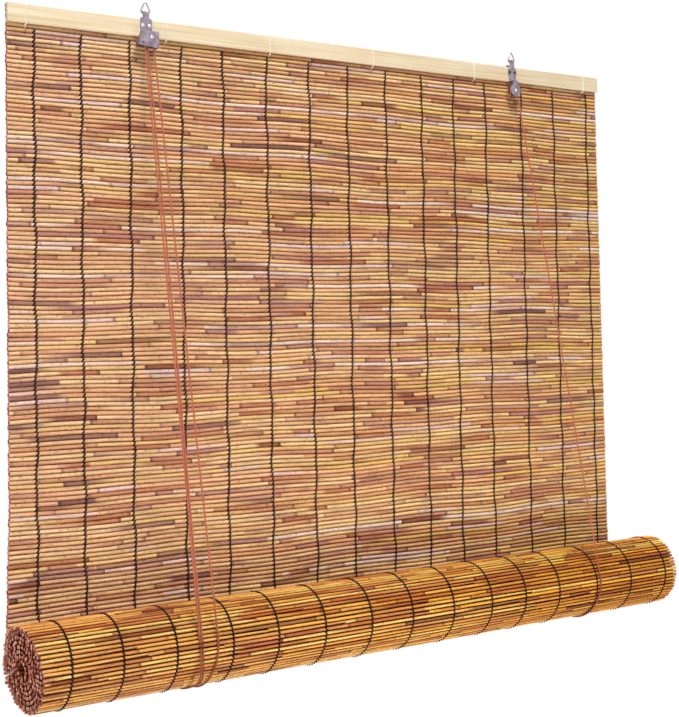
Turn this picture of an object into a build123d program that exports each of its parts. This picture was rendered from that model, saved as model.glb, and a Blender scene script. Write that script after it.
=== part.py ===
"""Outdoor reed roll-up blind, half lowered, made to hang by two wire rings.

Millimetres. X runs along the rail, Y from the front to the back, Z up.
The origin lies midway between the two hanging rings, on the line where their hooks bear.
"""

import os
from math import acos, atan2, ceil, cos, hypot, pi, sin, tan

from build123d import *

os.makedirs("parts", exist_ok=True)

# Reed mat: rows of thin stalks, one above the other, with open gaps between rows
mat_width = 1000.0
mat_thickness = 4.5
reed_pitch = 5.425
reed_rows = 142
ridge_height = 0.8
gap_height = 0.8
gap_land = 1.0
gap_margin = 14.0
gap_every = 4

# Front batten: a bamboo strip laid over the top rows of the mat
batten_height = 22.3
batten_thickness = 5.0
batten_edge = 0.6
mat_top_drop = 0.5

# Nylon ties that bind the batten to the mat
tie_width = 2.5
tie_thickness = 0.5
tie_gap_height = 1.1
tie_gap_width = 3.1
tie_shares = (-0.476, -0.285, -0.126, 0.048, 0.239, 0.467)

# Roll: the lower part of the mat, wound about the bottom rod
roll_radius = 53.0
roll_pitch = 5.4
roll_wall = 4.4
turn_facets = 14
roll_left_overhang = 6.0
roll_right_overhang = 42.6
seam_clearance = 0.3
least_rod_radius = 4.0
rod_gap = 0.4
rod_recess = 8.0

# Binding threads of the hanging mat
thread_width = 1.2
thread_thickness = 0.6
thread_clearance = 0.05
thread_shares = (-0.465, -0.403, -0.336, -0.262, -0.199, -0.131, -0.061, 0.004, 0.072, 0.138, 0.199,
                 0.262, 0.335, 0.404, 0.476)

# Hanging rings: round wire bent into a triangle
hanger_span = 629.0
ring_wire = 1.8
ring_half_base = 7.5
ring_height = 15.0
ring_bend = 2.0
ring_rise = 9.3
wire_sides = 6
bend_steps = 3

# Sheet steel of both hangers
sheet = 1.0
eye_clearance = 0.25
neck_width = 9.0
plate_head = 1.5
plate_width = 16.5
plate_drop = 18.0
plate_corner = 3.0
cheek_gap = 6.2
side_clearance = 0.3
screw_spacing = 9.6
screw_drop = 8.0
screw_radius = 1.3
plate_crown = 0.2
screw_length = 5.0
screw_head_radius = 2.5
screw_head = 1.3
screw_sides = 8
head_sides = 10

# Cord lock on the left hanger
lock_top_drop = 15.5
lock_right = 14.3
lock_left = 15.8
lock_right_drop = 36.5
lock_left_drop = 34.0
lock_shoulder = 8.2
lock_sheave_x = 4.6
lock_sheave_drop = 22.8
lock_cord_radius = 4.65
lock_flange = 5.2
guide_x = -3.2
guide_drop = 25.5
guide_bend = 4.0
pawl_x = -8.2
pawl_drop = 30.5
pawl_tail_offset = 1.0
pawl_tail_radius = 2.9
pawl_nose_height = 1.8
pawl_cord_clearance = 0.4
pawl_pin_radius = 1.2

# Pulley on the right hanger
pulley_waist = 11.0
pulley_waist_drop = 25.0
pulley_drop = 36.0
pulley_cheek = 9.5
pulley_cord_radius = 7.45
pulley_flange = 8.0
cheek_foot_drop = 21.5
cheek_tab = 10.0

# Pins and sheaves
pin_radius = 1.5
pin_running = 0.05
pin_head_radius = 2.6
pin_head = 1.0
pin_head_taper = 40
groove_depth = 0.9
flange_thickness = 1.3
wheel_sides = 16

# Cords
cord_diameter = 2.1
cord_sides = 4
cord_clearance = 1.0
cord_seam = 0.3
cord_hole = 3.4
wrap_corners = 4
wrap_share = 0.97
mouth_drop = 38.0
pulley_mouth_drop = 44.0
return_drop = 43.0
return_bend = 4.0
cross_gap = 2.6
rear_top_x = 2.0
left_front_share = -0.279
left_rear_share = -0.294
right_front_share = 0.376
right_rear_share = 0.361
pull_share = -0.3026
pull_spacing = 3.2
knot_radius = 2.5
knot_length = 12.0
knot_offset = -2.5
knot_edge = 0.9
hank_width = 19.5
hank_depth = 13.0
hank_shift = 4.0
hank_height = 44.0
hank_rise = 9.0
hank_edge = 3.0
hank_gap = 0.5
pull_knot_length = 6.0

# One overrun serves all cuts
overrun = 2.0

# Levels and depths that follow from the sizes above
ring_half_apex = atan2(ring_half_base, ring_height)
ring_top = ring_height - ring_bend * (1 / sin(ring_half_apex) - 1)
rail_top = -(ring_rise + ring_top - ring_wire / 2)
eye_z = rail_top + ring_rise
eye_bore = ring_wire / 2 + eye_clearance
eye_radius = eye_bore + sheet
plate_back = -eye_bore
plate_front = plate_back - sheet
batten_back = plate_back + batten_thickness
batten_bottom = rail_top - batten_height
mat_y = batten_back + mat_thickness / 2
mat_back = batten_back + mat_thickness
mat_top = rail_top - mat_top_drop
mat_bottom = mat_top - reed_rows * reed_pitch
roll_axis_y = mat_back - roll_radius
roll_axis_z = mat_bottom - seam_clearance
roll_left = -mat_width / 2 - roll_left_overhang
roll_right = mat_width / 2 + roll_right_overhang
roll_length = roll_right - roll_left
roll_turns = int((roll_radius - roll_wall - rod_gap - least_rod_radius) / roll_pitch)
rod_radius = roll_radius - roll_turns * roll_pitch - roll_wall - rod_gap
left_x = -hanger_span / 2
right_x = hanger_span / 2
cheek_back = plate_front - cheek_gap
cord_radius = cord_diameter / 2
cord_y = plate_front - cheek_gap / 2
wrap_radius = roll_radius + cord_radius + cord_clearance
rear_y = roll_axis_y + wrap_radius
sheave_width = cheek_gap - 2 * side_clearance


def row_z(row):
    """Height of the valley above a row of reeds, counted from the top."""
    return mat_top - row * reed_pitch


def from_front(x, y, z):
    """Plane seen from the front, with its normal towards the viewer."""
    return Plane(origin=(x, y, z), x_dir=(1, 0, 0), z_dir=(0, -1, 0))


# The nylon ties cross the mat at the first valley that lies wholly below the batten
tie_row = ceil((batten_height - mat_top_drop + tie_gap_height) / reed_pitch)
gap_rows = [row for row in range(tie_row + 2, reed_rows - 1) if (row - tie_row) % gap_every == 0]
land_rows = set(gap_rows) | {tie_row}


def mat_face(valley_y, crest_y):
    """Corners of one ridged face of the mat from the top down, with a flat land at each open valley."""
    corners = []
    for row in range(reed_rows):
        upper = row_z(row) - (gap_land / 2 if row in land_rows else 0)
        lower = row_z(row + 1) + (gap_land / 2 if row + 1 in land_rows else 0)
        corners += [(valley_y, upper), (crest_y, (upper + lower) / 2), (valley_y, lower)]
    return [at for at, following in zip(corners, corners[1:] + [None]) if at != following]


# Reed mat, with its ties' and cords' passages and the open gaps between rows
guide_z = rail_top - guide_drop
return_z = rail_top - return_drop - return_bend
return_x = right_x - pulley_cord_radius
with BuildPart() as reed_mat:
    with BuildSketch(Plane.YZ.offset(-mat_width / 2)):
        with BuildLine():
            front = mat_face(batten_back + ridge_height, batten_back)
            back = mat_face(mat_back - ridge_height, mat_back)
            Polyline(front + back[::-1], close=True)
        make_face()
    extrude(amount=mat_width)
    with BuildSketch(from_front(0, mat_back + overrun, 0)):
        with Locations([(0, row_z(row)) for row in gap_rows]):
            Rectangle(mat_width - 2 * gap_margin, gap_height)
        with Locations([(share * mat_width, row_z(tie_row)) for share in tie_shares]):
            Rectangle(tie_gap_width, tie_gap_height)
        with Locations((left_x + guide_x, guide_z), (return_x, return_z)):
            Rectangle(cord_hole, cord_hole)
    extrude(amount=mat_thickness + 2 * overrun, mode=Mode.SUBTRACT)
reed_mat.part.label = "reed_mat"
export_step(reed_mat.part, "parts/reed_mat.step")

# Binding threads on both faces of the hanging mat
thread_top = row_z(tie_row)
with BuildPart() as mat_threads:
    for share in thread_shares:
        for face_y in (batten_back - thread_clearance, mat_back + thread_clearance + thread_thickness):
            with BuildSketch(from_front(share * mat_width, face_y, 0)):
                with Locations((0, (thread_top + mat_bottom) / 2)):
                    Rectangle(thread_width, thread_top - mat_bottom)
            extrude(amount=thread_thickness)
mat_threads.part.label = "mat_threads"
export_step(mat_threads.part, "parts/mat_threads.step")

# Front batten
with BuildPart() as front_batten:
    with BuildSketch(Plane.YZ.offset(-mat_width / 2)):
        with Locations(((plate_back + batten_back) / 2, (rail_top + batten_bottom) / 2)):
            Rectangle(batten_thickness, batten_height)
    extrude(amount=mat_width)
    front_edges = front_batten.edges().filter_by(Axis.X).group_by(Axis.Y)[0]
    chamfer(front_edges, batten_edge)
front_batten.part.label = "front_batten"
export_step(front_batten.part, "parts/front_batten.step")

# Nylon ties, each a closed band round the batten and the top rows of the mat
tie_front = plate_back - thread_clearance
tie_back = mat_back + thread_clearance
tie_top = rail_top + thread_clearance
tie_bottom = row_z(tie_row) + tie_thickness / 2
with BuildPart() as rail_ties:
    for share in tie_shares:
        with BuildSketch(Plane.YZ.offset(share * mat_width - tie_width / 2)):
            with Locations(((tie_front + tie_back) / 2, (tie_top + tie_bottom) / 2)):
                Rectangle(tie_back - tie_front + 2 * tie_thickness, tie_top - tie_bottom + 2 * tie_thickness)
                Rectangle(tie_back - tie_front, tie_top - tie_bottom, mode=Mode.SUBTRACT)
        extrude(amount=tie_width)
rail_ties.part.label = "rail_ties"
export_step(rail_ties.part, "parts/rail_ties.step")


def spiral_point(turn, inset):
    """Point of the roll's section, some turns from the seam and inset from the outer surface."""
    radius = roll_radius - roll_pitch * turn - inset
    angle = -2 * pi * turn
    return roll_axis_y + radius * cos(angle), roll_axis_z + radius * sin(angle)


# Roll: one long strip wound inwards from the seam, ridged on its outer turn
outer_reeds = round(2 * pi * roll_radius / reed_pitch)
with BuildPart() as reed_roll:
    with BuildSketch(Plane.YZ.offset(roll_left)):
        with BuildLine():
            ridges = []
            for reed in range(outer_reeds):
                ridges.append(spiral_point(reed / outer_reeds, ridge_height))
                ridges.append(spiral_point((reed + 0.5) / outer_reeds, 0))
            inward = [1 + step / turn_facets for step in range((roll_turns - 1) * turn_facets + 1)]
            outward = [step / turn_facets for step in range(roll_turns * turn_facets, -1, -1)]
            Polyline(
                ridges
                + [spiral_point(turn, ridge_height) for turn in inward]
                + [spiral_point(turn, roll_wall) for turn in outward],
                close=True,
            )
        make_face()
    extrude(amount=roll_length)
reed_roll.part.label = "reed_roll"
export_step(reed_roll.part, "parts/reed_roll.step")

# Bottom rod at the heart of the roll
with BuildPart() as bottom_rod:
    with BuildSketch(Plane.YZ.offset(roll_left + rod_recess)):
        with Locations((roll_axis_y, roll_axis_z)):
            Circle(rod_radius)
    extrude(amount=roll_length - 2 * rod_recess)
bottom_rod.part.label = "bottom_rod"
export_step(bottom_rod.part, "parts/bottom_rod.step")


def bent_corner(corner, before, after):
    """Points of a corner of the ring's wire, bent round in a few short straight steps."""
    inwards, onwards = (before - corner).normalized(), (after - corner).normalized()
    half = inwards.get_angle(onwards) * pi / 360
    centre = corner + (inwards + onwards).normalized() * (ring_bend / sin(half))
    start = corner + inwards * (ring_bend / tan(half)) - centre
    end = corner + onwards * (ring_bend / tan(half)) - centre
    turn = pi - 2 * half
    for step in range(bend_steps + 1):
        share = step / bend_steps
        yield centre + (start * sin((1 - share) * turn) + end * sin(share * turn)) * (1 / sin(turn))


# Hanging rings, upright in the rolled eyes of their plates
for side, hanger_x in (("left", left_x), ("right", right_x)):
    left_corner = Vector(hanger_x - ring_half_base, 0, eye_z)
    right_corner = Vector(hanger_x + ring_half_base, 0, eye_z)
    apex = Vector(hanger_x, 0, eye_z + ring_height)
    with BuildPart() as hanging_ring:
        with BuildLine() as ring_line:
            Polyline(
                *bent_corner(left_corner, apex, right_corner),
                *bent_corner(right_corner, left_corner, apex),
                *bent_corner(apex, right_corner, left_corner),
                close=True,
            )
        with BuildSketch(Plane(origin=ring_line.line @ 0, z_dir=ring_line.line % 0)):
            RegularPolygon(ring_wire / 2, wire_sides)
        sweep(transition=Transition.RIGHT)
    hanging_ring.part.label = f"{side}_hanging_ring"
    export_step(hanging_ring.part, f"parts/{side}_hanging_ring.step")

lock_outline = [
    (-lock_shoulder, -lock_top_drop),
    (lock_right, -lock_top_drop),
    (lock_right, -lock_right_drop),
    (-lock_left, -lock_left_drop),
]
neck_height = ring_rise - plate_head

# Left plate: screwed to the batten, with the ring's eye above and the lock's rear cheek below
with BuildPart() as left_plate:
    with BuildSketch(from_front(left_x, plate_back, rail_top)) as left_outline:
        with Locations((0, (plate_head - plate_drop) / 2)):
            RectangleRounded(plate_width, plate_head + plate_drop, plate_corner)
        with BuildLine():
            Polyline(lock_outline, close=True)
        make_face()
        with Locations((0, plate_head + neck_height / 2 - plate_corner / 2)):
            Rectangle(neck_width, neck_height + plate_corner)
        with Locations((guide_x, -guide_drop)):
            Rectangle(cord_hole, cord_hole, mode=Mode.SUBTRACT)
    extrude(amount=sheet)
    with BuildSketch(Plane.YZ.offset(left_x - neck_width / 2)):
        with Locations((0, eye_z)):
            Circle(eye_radius)
    extrude(amount=neck_width)
    with BuildSketch(Plane.YZ.offset(left_x - neck_width / 2)):
        with Locations((0, eye_z)):
            Circle(eye_bore)
    extrude(amount=neck_width, mode=Mode.SUBTRACT)
left_plate.part.label = "left_plate"
export_step(left_plate.part, "parts/left_plate.step")

# Lock housing: a folded hood over the sheave and the pawl, open at its mouth
with BuildPart() as lock_housing:
    with BuildSketch(from_front(left_x, plate_front, rail_top)):
        with BuildLine():
            Polyline(lock_outline, close=True)
        make_face()
    extrude(amount=cheek_gap + sheet)
    with BuildSketch(from_front(left_x, plate_front, rail_top)):
        with BuildLine():
            slant = (lock_left - lock_shoulder) / (lock_left_drop - lock_top_drop)
            Polyline(
                (-lock_shoulder + sheet - slant * sheet, -lock_top_drop - sheet),
                (lock_right - sheet, -lock_top_drop - sheet),
                (lock_right - sheet, -lock_right_drop - overrun),
                (-lock_left + sheet - slant * overrun, -lock_left_drop - overrun),
                close=True,
            )
        make_face()
    extrude(amount=cheek_gap, mode=Mode.SUBTRACT)
lock_housing.part.label = "lock_housing"
export_step(lock_housing.part, "parts/lock_housing.step")

# Right plate: rounded head, a waist and the pulley's rear cheek
with BuildPart() as right_plate:
    with BuildSketch(from_front(right_x, plate_back, rail_top)):
        with Locations((0, (plate_head - plate_drop) / 2)):
            RectangleRounded(plate_width, plate_head + plate_drop, plate_width / 2 - plate_crown)
        with BuildLine():
            Polyline(
                (-plate_width / 2, -screw_drop),
                (plate_width / 2, -screw_drop),
                (pulley_waist / 2, -pulley_waist_drop),
                (pulley_waist / 2, -pulley_drop),
                (-pulley_waist / 2, -pulley_drop),
                (-pulley_waist / 2, -pulley_waist_drop),
                close=True,
            )
        make_face()
        with Locations((0, -pulley_drop)):
            Circle(pulley_cheek)
        with Locations((0, plate_head + neck_height / 2 - plate_corner / 2)):
            Rectangle(neck_width, neck_height + plate_corner)
    extrude(amount=sheet)
    with BuildSketch(Plane.YZ.offset(right_x - neck_width / 2)):
        with Locations((0, eye_z)):
            Circle(eye_radius)
    extrude(amount=neck_width)
    with BuildSketch(Plane.YZ.offset(right_x - neck_width / 2)):
        with Locations((0, eye_z)):
            Circle(eye_bore)
    extrude(amount=neck_width, mode=Mode.SUBTRACT)
right_plate.part.label = "right_plate"
export_step(right_plate.part, "parts/right_plate.step")

# Front cheek of the pulley, with a foot bent back onto the plate
with BuildPart() as pulley_cheek_plate:
    with BuildSketch(from_front(right_x, cheek_back, rail_top)):
        with Locations((0, -pulley_drop)):
            Circle(pulley_cheek)
        with Locations((0, -(cheek_foot_drop + pulley_drop) / 2)):
            Rectangle(cheek_tab, pulley_drop - cheek_foot_drop)
    extrude(amount=sheet)
    with BuildSketch(from_front(right_x, plate_front, rail_top)):
        with Locations((0, -cheek_foot_drop - sheet / 2)):
            Rectangle(cheek_tab, sheet)
    extrude(amount=cheek_gap)
pulley_cheek_plate.part.label = "pulley_cheek"
export_step(pulley_cheek_plate.part, "parts/pulley_cheek.step")

# Two self-tapping screws through each plate into the batten
with BuildPart() as plate_screws:
    for x in (left_x - screw_spacing / 2, left_x + screw_spacing / 2,
              right_x - screw_spacing / 2, right_x + screw_spacing / 2):
        with BuildSketch(from_front(x, plate_front, rail_top - screw_drop)):
            RegularPolygon(screw_head_radius, head_sides)
        extrude(amount=screw_head)
        with BuildSketch(from_front(x, plate_front, rail_top - screw_drop)):
            RegularPolygon(screw_radius, screw_sides)
        extrude(amount=-screw_length)
plate_screws.part.label = "plate_screws"
export_step(plate_screws.part, "parts/plate_screws.step")

# Sheaves: narrow flanged wheels with a groove for the cord, free on their pins
lock_sheave_z = rail_top - lock_sheave_drop
pulley_z = rail_top - pulley_drop
for name, x, z, cord_at, flange in (
    ("lock", left_x + lock_sheave_x, lock_sheave_z, lock_cord_radius, lock_flange),
    ("pulley", right_x, pulley_z, pulley_cord_radius, pulley_flange),
):
    with BuildPart() as sheave:
        groove = cord_at - cord_radius - groove_depth
        with BuildSketch(from_front(x, cord_y + sheave_width / 2, z)):
            RegularPolygon(groove, wheel_sides)
        extrude(amount=sheave_width)
        for side in (1, -1):
            with BuildSketch(from_front(x, cord_y + side * sheave_width / 2, z)):
                RegularPolygon(flange, wheel_sides)
            extrude(amount=side * flange_thickness)
        with BuildSketch(from_front(x, cord_y + sheave_width / 2, z)):
            Circle(pin_radius + pin_running)
        extrude(amount=sheave_width, mode=Mode.SUBTRACT)
    sheave.part.label = f"{name}_sheave"
    export_step(sheave.part, f"parts/{name}_sheave.step")

# Pins of the two sheaves, riveted tight in their cheeks
with BuildPart() as sheave_pins:
    for x, z in ((left_x + lock_sheave_x, lock_sheave_z), (right_x, pulley_z)):
        with BuildSketch(from_front(x, plate_back, z)):
            Circle(pin_radius)
        extrude(amount=cheek_gap + 2 * sheet)
        with BuildSketch(from_front(x, cheek_back - sheet, z)):
            RegularPolygon(pin_head_radius, head_sides)
        extrude(amount=pin_head, taper=pin_head_taper)
sheave_pins.part.label = "sheave_pins"
export_step(sheave_pins.part, "parts/sheave_pins.step")

# Pawl of the lock: a heavy tail keeps its nose up against the cord
pawl_z = rail_top - pawl_drop
nose_reach = guide_x - cord_radius - pawl_cord_clearance - pawl_x
with BuildPart() as lock_pawl:
    with BuildSketch(from_front(left_x + pawl_x, plate_front - side_clearance, pawl_z)):
        with Locations((-pawl_tail_offset, 0)):
            RegularPolygon(pawl_tail_radius, head_sides)
        with BuildLine():
            Polyline(
                (0, -pawl_nose_height),
                (nose_reach, -pawl_nose_height / 2),
                (nose_reach, pawl_nose_height / 2),
                (0, pawl_nose_height),
                close=True,
            )
        make_face()
        Circle(pawl_pin_radius + pin_running, mode=Mode.SUBTRACT)
    extrude(amount=sheave_width)
lock_pawl.part.label = "lock_pawl"
export_step(lock_pawl.part, "parts/lock_pawl.step")

with BuildPart() as pawl_pin:
    with BuildSketch(from_front(left_x + pawl_x, plate_back, pawl_z)):
        Circle(pawl_pin_radius)
    extrude(amount=cheek_gap + 2 * sheet)
pawl_pin.part.label = "pawl_pin"
export_step(pawl_pin.part, "parts/pawl_pin.step")


def tangent_angle(start_z):
    """Angle about the roll's axis where a strand from a hanger first lies on the roll."""
    rise, reach = start_z - roll_axis_z, cord_y - roll_axis_y
    return atan2(rise, reach) + acos(wrap_radius / hypot(rise, reach))


def on_wrap(x, angle, share=1):
    """Point at an angle about the roll's axis, where a cord lies round the roll."""
    radius = wrap_radius * share
    return x, roll_axis_y + radius * cos(angle), roll_axis_z + radius * sin(angle)


def wrap_route(front_x, rear_x, start_angle):
    """Route of a cord from the roll's front, under it, to its rear."""
    step = (2 * pi - start_angle) / wrap_corners
    route = [on_wrap(front_x, start_angle)]
    for corner in range(wrap_corners):
        part_way = (corner + 0.5) / wrap_corners
        x = front_x + (rear_x - front_x) * part_way
        route.append(on_wrap(x, start_angle + (corner + 0.5) * step, 1 / cos(step / 2)))
    route.append(on_wrap(rear_x, 2 * pi))
    return route


def cord_solids(name, *routes, radii=()):
    """Plain tubes along straight runs and tangent arcs, written together under their node's name."""
    lengths = []
    with BuildPart() as cords:
        for route in routes:
            with BuildLine() as cord_line:
                if radii:
                    FilletPolyline(route, radius=radii)
                else:
                    Line(route[0], route[1])
            with BuildSketch(Plane(origin=cord_line.line @ 0, z_dir=cord_line.line % 0)):
                RegularPolygon(cord_radius, cord_sides)
            sweep()
            lengths.append(sum(edge.length for edge in cord_line.edges()))
    cords.part.label = name
    export_step(cords.part, f"parts/{name}.step")
    section = cord_sides / 2 * cord_radius**2 * sin(2 * pi / cord_sides)
    print(f"{name}: lengths {[round(length, 1) for length in lengths]}, radii {[round(r, 1) for r in radii]}, "
          f"volume over section times length {cords.part.volume / (section * sum(lengths)):.4f}")


def drawn_in(start, end):
    """A straight run that stops short of the next cord at its lower end."""
    run = Vector(*end) - Vector(*start)
    stop = Vector(*start) + run * (1 - cord_seam / run.length)
    return start, tuple(stop)


mouth_z = rail_top - mouth_drop
pulley_mouth_z = rail_top - pulley_mouth_drop
left_angle = tangent_angle(mouth_z)
right_angle = tangent_angle(pulley_mouth_z)
wrap_radii = [wrap_radius * wrap_share] * wrap_corners
lift_x = left_x + lock_sheave_x + lock_cord_radius
pull_top_x = left_x + lock_sheave_x - lock_cord_radius
guide_top_x = left_x + guide_x
pulley_top_x = right_x + pulley_cord_radius
rear_top_z = rail_top + mat_top_drop

left_front_x, left_rear_x = mat_width * left_front_share, mat_width * left_rear_share
right_front_x, right_rear_x = mat_width * right_front_share, mat_width * right_rear_share
pull_a_x, pull_b_x = [mat_width * pull_share + side * pull_spacing / 2 for side in (1, -1)]

# Lift cords behind the mat and in front of it
for name, top, foot in (
    ("left_rear_cord", (left_x + rear_top_x, rear_y, rear_top_z), on_wrap(left_rear_x, 2 * pi)),
    ("right_rear_cord", (right_x + rear_top_x, rear_y, rear_top_z), on_wrap(right_rear_x, 2 * pi)),
    ("left_front_cord", (lift_x, cord_y, mouth_z), on_wrap(left_front_x, left_angle)),
    ("right_front_cord", (pulley_top_x, cord_y, pulley_mouth_z), on_wrap(right_front_x, right_angle)),
    ("pull_strand_a", (pull_top_x, cord_y, mouth_z), on_wrap(pull_a_x, left_angle)),
    ("pull_strand_b", (guide_top_x, cord_y, mouth_z), on_wrap(pull_b_x, left_angle)),
):
    cord_solids(name, drawn_in(top, foot))

# Under the roll: the lift cords' slings, and the pull strands' tails on their way to the hank
tails = []
for x in (pull_a_x, pull_b_x):
    tail = wrap_route(x, x, left_angle)
    tail[-1] = tuple(Vector(*tail[-1]) + Vector(0, 0, hank_rise))
    tails.append(tail)
cord_solids(
    "sling_cords",
    wrap_route(left_front_x, left_rear_x, left_angle),
    wrap_route(right_front_x, right_rear_x, right_angle),
    *tails,
    radii=wrap_radii,
)

# Upper cords: the left lift cord over the lock's sheave, and the right one over its pulley, back through
# the mat, along its rear and forward into the lock
cross_y = rear_y + cross_gap
with BuildPart() as hanger_cords:
    with BuildLine() as loop_line:
        Line((lift_x, cord_y, mouth_z), (lift_x, cord_y, lock_sheave_z))
        ThreePointArc(
            (lift_x, cord_y, lock_sheave_z),
            (left_x + lock_sheave_x, cord_y, lock_sheave_z + lock_cord_radius),
            (pull_top_x, cord_y, lock_sheave_z),
        )
        Line((pull_top_x, cord_y, lock_sheave_z), (pull_top_x, cord_y, mouth_z))
    with BuildSketch(Plane(origin=loop_line.line @ 0, z_dir=loop_line.line % 0)):
        RegularPolygon(cord_radius, cord_sides)
    sweep()
    with BuildLine() as cross_line:
        Line((pulley_top_x, cord_y, pulley_mouth_z), (pulley_top_x, cord_y, pulley_z))
        ThreePointArc(
            (pulley_top_x, cord_y, pulley_z),
            (right_x, cord_y, pulley_z + pulley_cord_radius),
            (return_x, cord_y, pulley_z),
        )
        FilletPolyline(
            (return_x, cord_y, pulley_z),
            (return_x, cord_y, return_z),
            (return_x, cross_y, return_z),
            (guide_top_x, cross_y, guide_z),
            (guide_top_x, cord_y, guide_z),
            (guide_top_x, cord_y, mouth_z),
            radius=[return_bend, return_bend, guide_bend, guide_bend],
        )
    with BuildSketch(Plane(origin=cross_line.line @ 0, z_dir=cross_line.line % 0)):
        RegularPolygon(cord_radius, cord_sides)
    sweep()
hanger_cords.part.label = "hanger_cords"
export_step(hanger_cords.part, "parts/hanger_cords.step")

# Knots that hold the lift cords' fixed ends, lying on the mat's top edge behind each hanger
for side, hanger_x in (("left", left_x), ("right", right_x)):
    with BuildPart() as cord_knot:
        knot_x = hanger_x + knot_offset - knot_length / 2
        with BuildSketch(Plane.YZ.offset(knot_x)):
            with Locations((rear_y - knot_radius, rail_top + knot_radius)):
                RegularPolygon(knot_radius, screw_sides, rotation=180 / screw_sides)
        extrude(amount=knot_length)
        chamfer(cord_knot.faces().sort_by(Axis.X)[0].edges(), knot_edge)
        chamfer(cord_knot.faces().sort_by(Axis.X)[-1].edges(), knot_edge)
    cord_knot.part.label = f"{side}_cord_knot"
    export_step(cord_knot.part, f"parts/{side}_cord_knot.step")

# Hank of the spare pull cord, tied behind the roll, with the knot that joins the two ends
hank_x = (pull_a_x + pull_b_x) / 2 - hank_shift
hank_y = mat_back + hank_gap + hank_depth / 2
hank_z = roll_axis_z + hank_rise
with BuildPart() as pull_hank:
    with BuildSketch(Plane.XY.offset(hank_z)) as hank_section:
        with Locations((hank_x, hank_y)):
            Rectangle(hank_width, hank_depth)
        chamfer(hank_section.vertices(), hank_edge)
    extrude(amount=hank_height)
pull_hank.part.label = "pull_hank"
export_step(pull_hank.part, "parts/pull_hank.step")

with BuildPart() as pull_knot:
    with BuildSketch(Plane.XY.offset(hank_z)):
        with Locations((hank_x, hank_y + hank_depth / 2 - knot_radius)):
            RegularPolygon(knot_radius, screw_sides)
    extrude(amount=-pull_knot_length)
    chamfer(pull_knot.faces().sort_by(Axis.Z)[0].edges(), knot_edge)
pull_knot.part.label = "pull_knot"
export_step(pull_knot.part, "parts/pull_knot.step")
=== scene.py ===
"""Outdoor reed roll-up blind, half lowered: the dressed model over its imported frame, in metres."""

from math import acos, atan2, ceil, cos, hypot, pi, radians, sin

import bmesh
import bpy
import numpy as np
from mathutils import Matrix, Vector


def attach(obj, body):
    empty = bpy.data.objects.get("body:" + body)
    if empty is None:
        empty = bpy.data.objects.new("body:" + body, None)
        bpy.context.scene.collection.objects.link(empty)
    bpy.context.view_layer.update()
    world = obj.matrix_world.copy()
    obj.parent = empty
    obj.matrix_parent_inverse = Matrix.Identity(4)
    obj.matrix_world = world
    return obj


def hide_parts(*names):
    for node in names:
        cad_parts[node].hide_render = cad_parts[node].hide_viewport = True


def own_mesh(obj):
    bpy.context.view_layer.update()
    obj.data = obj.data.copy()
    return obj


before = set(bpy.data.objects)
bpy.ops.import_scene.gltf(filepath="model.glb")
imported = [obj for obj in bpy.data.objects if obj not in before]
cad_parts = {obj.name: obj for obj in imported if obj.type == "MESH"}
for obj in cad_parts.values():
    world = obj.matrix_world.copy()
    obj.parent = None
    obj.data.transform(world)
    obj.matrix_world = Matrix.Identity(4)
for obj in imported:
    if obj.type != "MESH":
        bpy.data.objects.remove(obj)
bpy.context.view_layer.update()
scene = bpy.context.scene
scene.view_settings.view_transform = "Standard"

# Sizes and places, as in the part's source
MM = 0.001
MAT_LEFT, MAT_RIGHT = -500 * MM, 500 * MM
REED_PITCH = 5.425 * MM
REED_ROWS = 142
MAT_TOP = -21.428 * MM
MAT_FRONT, MAT_BACK = 3.85 * MM, 8.35 * MM
MAT_Y = (MAT_FRONT + MAT_BACK) / 2
RAIL_TOP = -20.928 * MM
BATTEN_BOTTOM = -43.228 * MM
BATTEN_FRONT = -1.15 * MM
TIE_ROW = 5
ROLL_RADIUS = 53 * MM
ROLL_PITCH = 5.4 * MM
ROLL_TURNS = 8
ROLL_REEDS = 61
ROLL_LEFT, ROLL_RIGHT = -506 * MM, 542.6 * MM
AXIS_Y, AXIS_Z = -44.65 * MM, -792.078 * MM
LEFT_X, RIGHT_X = -314.5 * MM, 314.5 * MM
HANGERS = (("left", LEFT_X), ("right", RIGHT_X))
EYE_Z = -11.628 * MM
PLATE_FRONT = -2.15 * MM
HOOD_FRONT = -9.35 * MM
LOCK_X, LOCK_Z, LOCK_WHEEL = LEFT_X + 4.6 * MM, -43.728 * MM, 4.65 * MM
PULLEY_Z, PULLEY_WHEEL = -56.928 * MM, 7.45 * MM
STITCHES = (-465, -403, -336, -262, -199, -131, -61, 4, 72, 138, 199, 262, 335, 404, 476)
TIES = (-476, -285, -126, 48, 239, 467)
CORD = 2.1 * MM
CORD_Y = -5.25 * MM
REAR_Y = 10.4 * MM
CROSS_Y = 13.0 * MM
WRAP = 54.3 * MM

# The camera, fitted to the photo. Its focal length and shift are counted in the photo's pixels
CAMERA_PLACE = (-1.2006, -1.5950, -0.4266)
CAMERA_TURN = radians(36.574), radians(3.153), radians(-1.125)
PHOTO_HEIGHT = 717
FOCAL_PIXELS, SHIFT_PIXELS = 1450.5, -100
SENSOR = 36


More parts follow.
